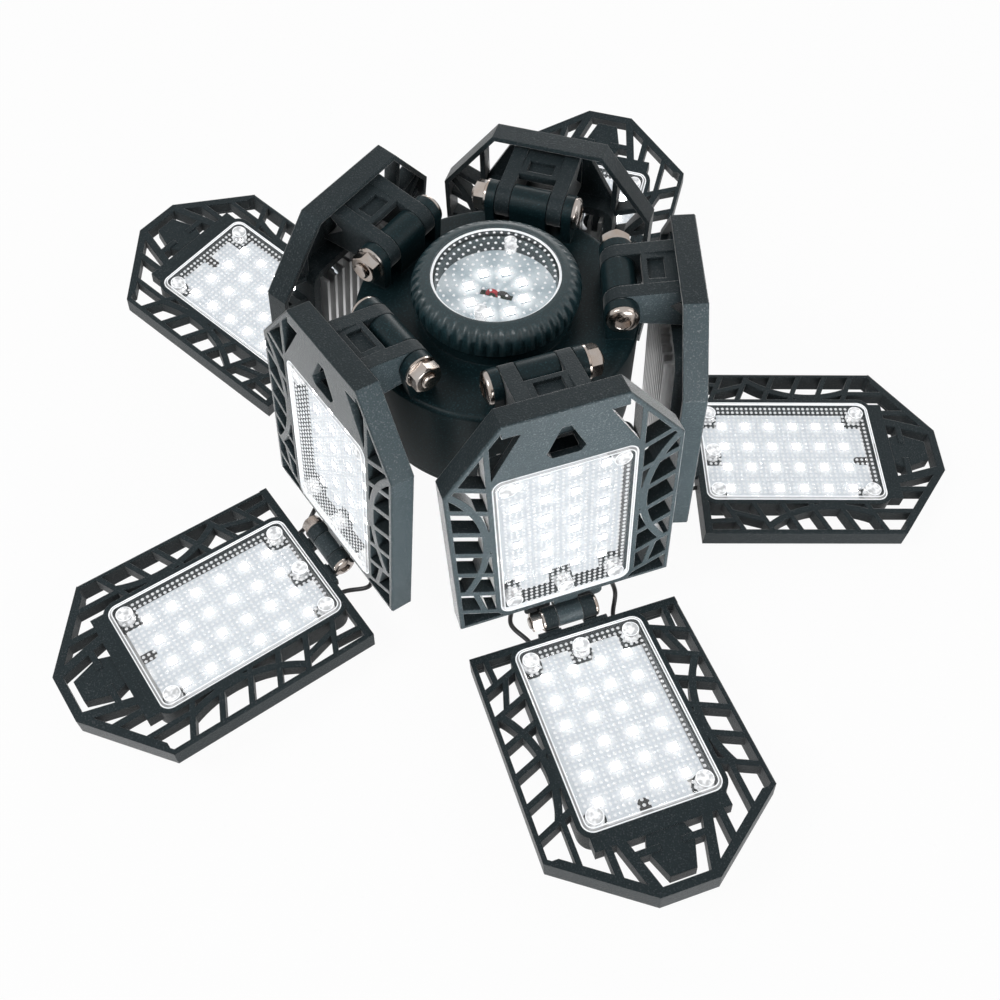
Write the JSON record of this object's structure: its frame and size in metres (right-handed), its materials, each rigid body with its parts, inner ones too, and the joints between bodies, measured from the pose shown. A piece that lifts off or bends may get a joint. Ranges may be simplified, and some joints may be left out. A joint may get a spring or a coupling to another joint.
{
  "type": "ceiling light",
  "caption": "Screw-in garage ceiling light with a round hub and hinged two-part light panels that swing out and fold.",
  "frame": {"origin": "axis of the screw base at the shoulder of its shell, where the shell meets the neck", "axes": "+Z along the hub axis from the screw base towards the centre lens; -Z is the way the base screws into its socket; -Y is the way wing 1 reaches"},
  "size_m": [0.3838, 0.3732, 0.1334],
  "materials": {
    "moulded_black": "satin, finely grained black moulding",
    "clear_cover": "clear glossy moulded cover with fine lens dots",
    "board_white": "white solder-masked circuit board with lit lamps",
    "board_green": "green circuit board with its parts",
    "nickel_shell": "bright nickel-plated sheet",
    "insulator": "black glassy insulator",
    "hardware_steel": "bright plated steel",
    "bare_aluminium": "bare extruded aluminium",
    "wire_black": "smooth black insulation"
  },
  "bodies": {
    "hub": {"hub_housing": "moulded_black", "hub_back_cover": "moulded_black", "grip_ring": "moulded_black", "centre_lens": "clear_cover", "centre_board": "board_white", "driver_board": "board_green", "screw_shell": "nickel_shell", "base_insulator": "insulator", "hub_hinge_bolts": "hardware_steel", "hub_hinge_nuts": "hardware_steel"},
    "inner_panel_1": {"inner_frame_1": "moulded_black", "inner_lens_1": "clear_cover", "inner_board_1": "board_white", "inner_heat_sink_1": "bare_aluminium", "elbow_wires_1": "wire_black"},
    "outer_panel_1": {"outer_frame_1": "moulded_black", "outer_lens_1": "clear_cover", "outer_board_1": "board_white", "outer_heat_sink_1": "bare_aluminium", "elbow_bolt_1": "hardware_steel"},
    "inner_panel_2": {"inner_frame_2": "moulded_black", "inner_lens_2": "clear_cover", "inner_board_2": "board_white", "inner_heat_sink_2": "bare_aluminium", "elbow_wires_2": "wire_black"},
    "outer_panel_2": {"outer_frame_2": "moulded_black", "outer_lens_2": "clear_cover", "outer_board_2": "board_white", "outer_heat_sink_2": "bare_aluminium", "elbow_bolt_2": "hardware_steel"},
    "inner_panel_3": {"inner_frame_3": "moulded_black", "inner_lens_3": "clear_cover", "inner_board_3": "board_white", "inner_heat_sink_3": "bare_aluminium", "elbow_wires_3": "wire_black"},
    "outer_panel_3": {"outer_frame_3": "moulded_black", "outer_lens_3": "clear_cover", "outer_board_3": "board_white", "outer_heat_sink_3": "bare_aluminium", "elbow_bolt_3": "hardware_steel"},
    "inner_panel_4": {"inner_frame_4": "moulded_black", "inner_lens_4": "clear_cover", "inner_board_4": "board_white", "inner_heat_sink_4": "bare_aluminium", "elbow_wires_4": "wire_black"},
    "outer_panel_4": {"outer_frame_4": "moulded_black", "outer_lens_4": "clear_cover", "outer_board_4": "board_white", "outer_heat_sink_4": "bare_aluminium", "elbow_bolt_4": "hardware_steel"},
    "inner_panel_5": {"inner_frame_5": "moulded_black", "inner_lens_5": "clear_cover", "inner_board_5": "board_white", "inner_heat_sink_5": "bare_aluminium", "elbow_wires_5": "wire_black"},
    "outer_panel_5": {"outer_frame_5": "moulded_black", "outer_lens_5": "clear_cover", "outer_board_5": "board_white", "outer_heat_sink_5": "bare_aluminium", "elbow_bolt_5": "hardware_steel"}
  },
  "joints": [
    {"name": "shoulder_1", "type": "hinge", "parent": "hub", "child": "inner_panel_1", "pos_m": [0, -0.0441, 0.0723], "axis": [-1, 0, 0], "range_deg": [-6.1, 83.9]},
    {"name": "elbow_1", "type": "hinge", "parent": "inner_panel_1", "child": "outer_panel_1", "pos_m": [0, -0.08565, -0.02574], "axis": [-1, 0, 0], "range_deg": [-92.7, 57.3], "deforming": ["elbow_wires_1"]},
    {"name": "shoulder_2", "type": "hinge", "parent": "hub", "child": "inner_panel_2", "pos_m": [0.04194, -0.01363, 0.0723], "axis": [-0.309, -0.9511, 0], "range_deg": [-2.8, 87.2]},
    {"name": "elbow_2", "type": "hinge", "parent": "inner_panel_2", "child": "outer_panel_2", "pos_m": [0.07602, -0.0247, -0.02797], "axis": [-0.309, -0.9511, 0], "range_deg": [-85.7, 64.3], "deforming": ["elbow_wires_2"]},
    {"name": "shoulder_3", "type": "hinge", "parent": "hub", "child": "inner_panel_3", "pos_m": [0.02592, 0.03567, 0.0723], "axis": [0.809, -0.5878, 0], "range_deg": [-1, 89]},
    {"name": "elbow_3", "type": "hinge", "parent": "inner_panel_3", "child": "outer_panel_3", "pos_m": [0.04512, 0.06211, -0.02905], "axis": [0.809, -0.5878, 0], "range_deg": [-111.3, 38.7], "deforming": ["elbow_wires_3"]},
    {"name": "shoulder_4", "type": "hinge", "parent": "hub", "child": "inner_panel_4", "pos_m": [-0.02592, 0.03567, 0.0723], "axis": [0.809, 0.5878, 0], "range_deg": [-8.8, 81.2]},
    {"name": "elbow_4", "type": "hinge", "parent": "inner_panel_4", "child": "outer_panel_4", "pos_m": [-0.05303, 0.07299, -0.02367], "axis": [0.809, 0.5878, 0], "range_deg": [-94.2, 55.8], "deforming": ["elbow_wires_4"]},
    {"name": "shoulder_5", "type": "hinge", "parent": "hub", "child": "inner_panel_5", "pos_m": [-0.04194, -0.01363, 0.0723], "axis": [-0.309, 0.9511, 0], "range_deg": [-6.7, 83.3]},
    {"name": "elbow_5", "type": "hinge", "parent": "inner_panel_5", "child": "outer_panel_5", "pos_m": [-0.08243, -0.02678, -0.0253], "axis": [-0.309, 0.9511, 0], "range_deg": [-87.2, 62.8], "deforming": ["elbow_wires_5"]}
  ]
}
